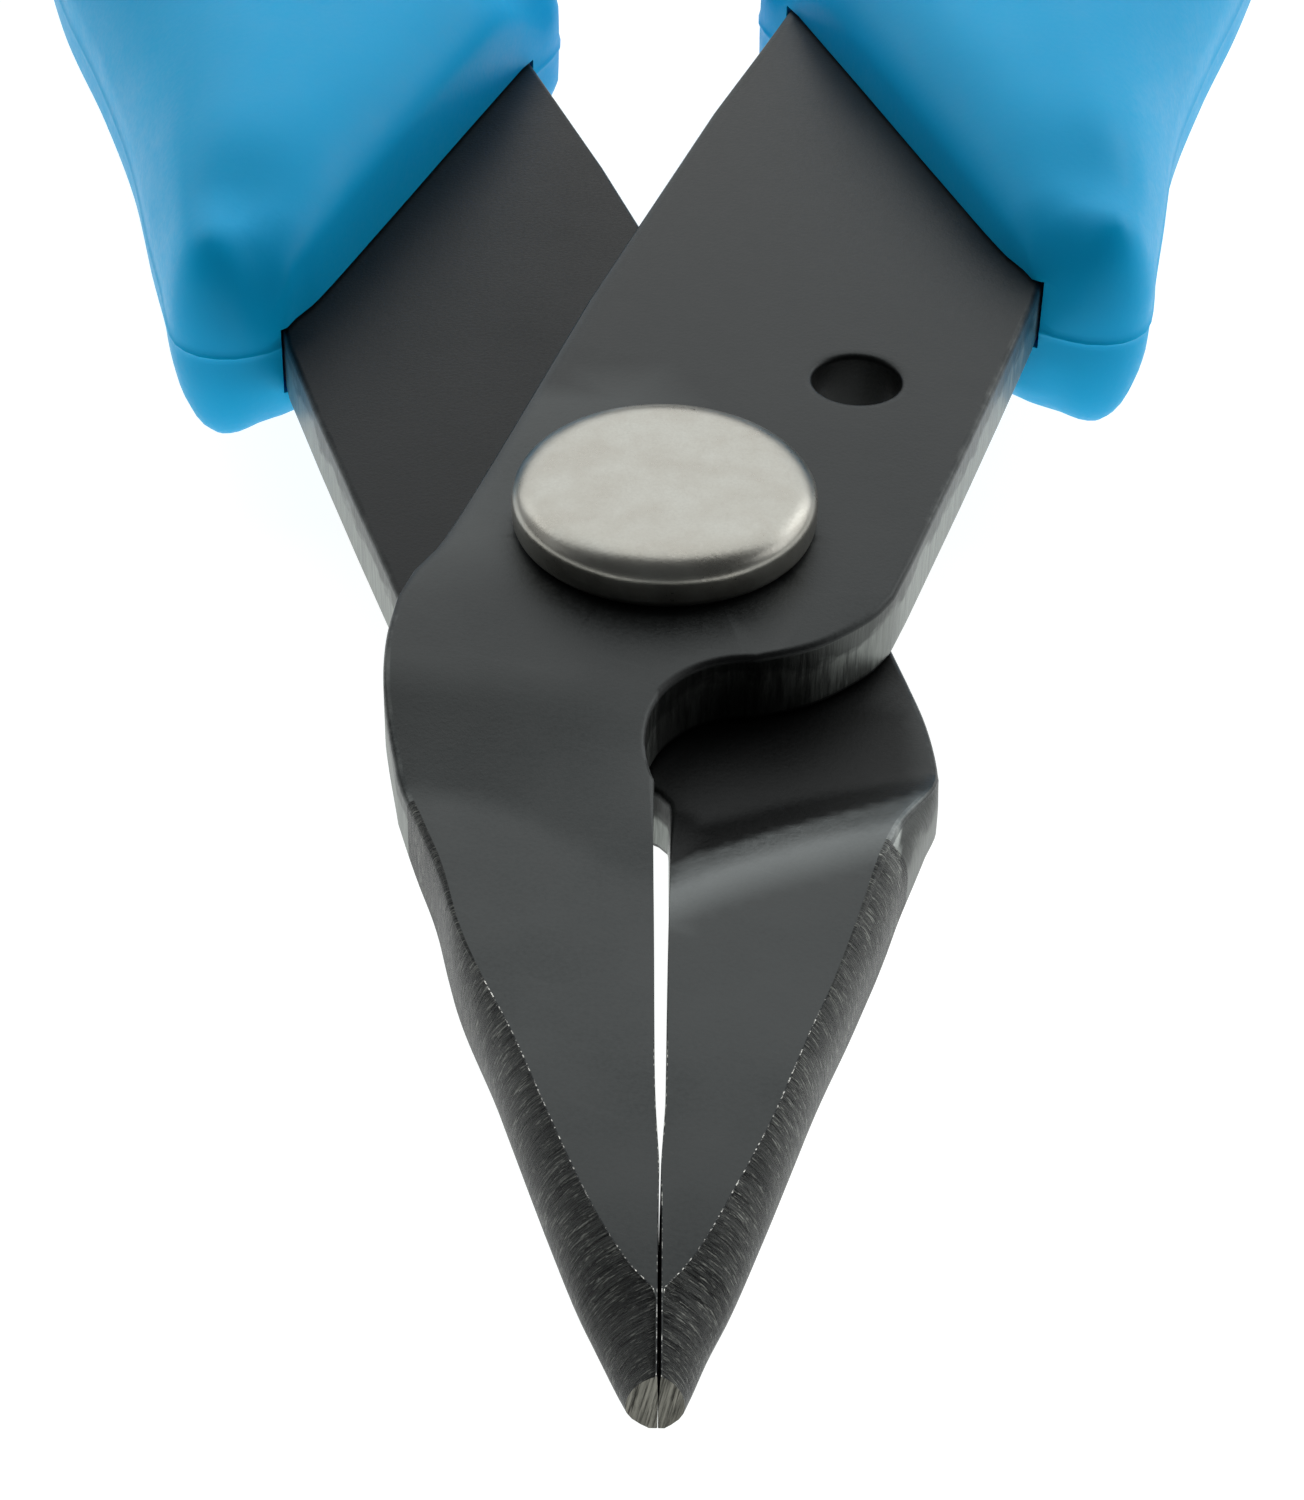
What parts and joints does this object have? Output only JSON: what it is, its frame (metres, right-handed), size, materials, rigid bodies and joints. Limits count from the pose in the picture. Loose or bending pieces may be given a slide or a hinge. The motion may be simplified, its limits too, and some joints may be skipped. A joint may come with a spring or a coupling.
{
  "type": "flush cut pliers",
  "caption": "Shear-type flush cutters: two flat steel arms crossing on a big rivet, with slim shut jaws, a return spring and long soft blue grips.",
  "frame": {"origin": "centre of the flat face of the lower rivet head, on the pivot axis", "axes": "+Z along the pivot axis towards the upper rivet head, -Y towards the tip of the jaws, +Y towards the handles, +X towards the handle of the upper arm"},
  "size_m": [0.0514, 0.1268, 0.0115],
  "materials": {
    "dark_steel": "satin",
    "rivet_steel": "satin",
    "spring_steel": "satin",
    "blue_grip": "satin"
  },
  "bodies": {
    "upper_body": {"upper_arm": "dark_steel", "pivot_rivet": "rivet_steel", "right_grip": "blue_grip", "return_spring": "spring_steel"},
    "lower_body": {"lower_arm": "dark_steel", "left_grip": "blue_grip"}
  },
  "joints": [
    {"name": "jaw_pivot", "type": "hinge", "parent": "upper_body", "child": "lower_body", "pos_m": [0, 0, 0.00325], "axis": [0, 0, 1], "range_deg": [0, 18], "stiffness_Nm_per_rad": 0.6, "springref_deg": 28.65, "deforming": ["return_spring"]}
  ]
}
